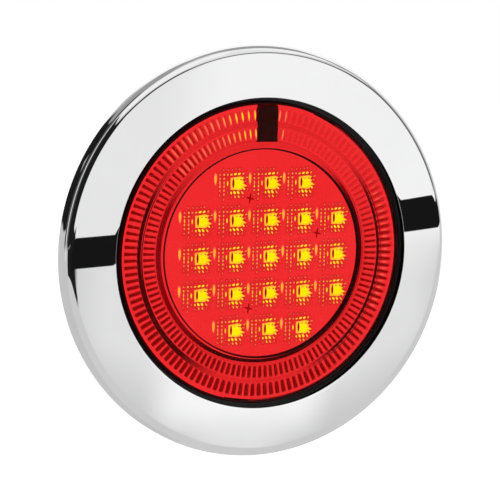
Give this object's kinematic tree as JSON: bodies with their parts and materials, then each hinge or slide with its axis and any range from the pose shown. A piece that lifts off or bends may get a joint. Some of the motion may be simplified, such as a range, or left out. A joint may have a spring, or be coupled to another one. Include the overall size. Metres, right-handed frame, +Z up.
{
  "type": "trailer tail light",
  "caption": "Round LED tail light with a fluted red lens, a recessed housing with flange screws and cable entry, and a chrome trim ring that clips over the flange.",
  "frame": {"origin": "on the lamp's axis, in the plane of the panel's surface: the centre of the circle of mounting holes at the back of the gasket", "axes": "+Y along the lamp's axis, back through the panel; the lens faces -Y; +Z up, with the light guides' cover at the top; +X to the right seen from the front"},
  "size_m": [0.15, 0.0375, 0.15],
  "materials": {
    "chrome_plate": "bright mirror chrome plating on moulded plastic",
    "red_lens": "clear red moulded polycarbonate with fine radial flutes, gloss",
    "seal_rubber": "soft black silicone",
    "black_plastic": "fine-textured black moulded plastic",
    "gasket_rubber": "matt black rubber",
    "steel": "plain stainless steel",
    "dark_plastic": "smooth black moulded plastic",
    "reflector": "bright reflective moulding",
    "clear_optic": "clear moulded optic with a fine square pillow grid",
    "halo_seat": "satin light-coloured plastic",
    "light_guide": "clear acrylic, polished",
    "board": "white solder mask over glass-fibre board",
    "spreader": "plain sheet aluminium",
    "led_body": "white moulded LED package",
    "led_light": "lit LED, warm yellow through the red lens",
    "chip": "black moulded chip body",
    "can": "drawn aluminium can",
    "pin_brass": "tinned brass pin",
    "membrane": "thin white breathable film",
    "resin": "black cast sealing resin"
  },
  "bodies": {
    "lamp": {"board_screws": "steel", "cable_gland": "gasket_rubber", "capacitors": "can", "diodes": "chip", "divider_wall": "dark_plastic", "driver_chips": "chip", "flange_bushes": "steel", "guide_cover": "dark_plastic", "halo_reflector": "halo_seat", "heat_spreader": "spreader", "housing": "black_plastic", "inner_light_guide": "light_guide", "lens": "red_lens", "lens_seal": "seal_rubber", "main_board": "board", "mounting_gasket": "gasket_rubber", "outer_light_guide": "light_guide", "pillow_optic": "clear_optic", "reflector_tray": "reflector", "resistors": "chip", "sealing_resin": "resin", "stop_led_domes": "led_light", "stop_leds": "led_body", "tail_leds": "led_light", "terminal_pins": "pin_brass", "vent_membrane": "membrane", "vent_plug": "dark_plastic"},
    "trim": {"trim_ring": "chrome_plate"}
  },
  "joints": [
    {"name": "trim_ring_pull", "type": "slide", "parent": "lamp", "child": "trim", "axis": [0, -1, 0], "range_m": [0, 0.04]}
  ]
}
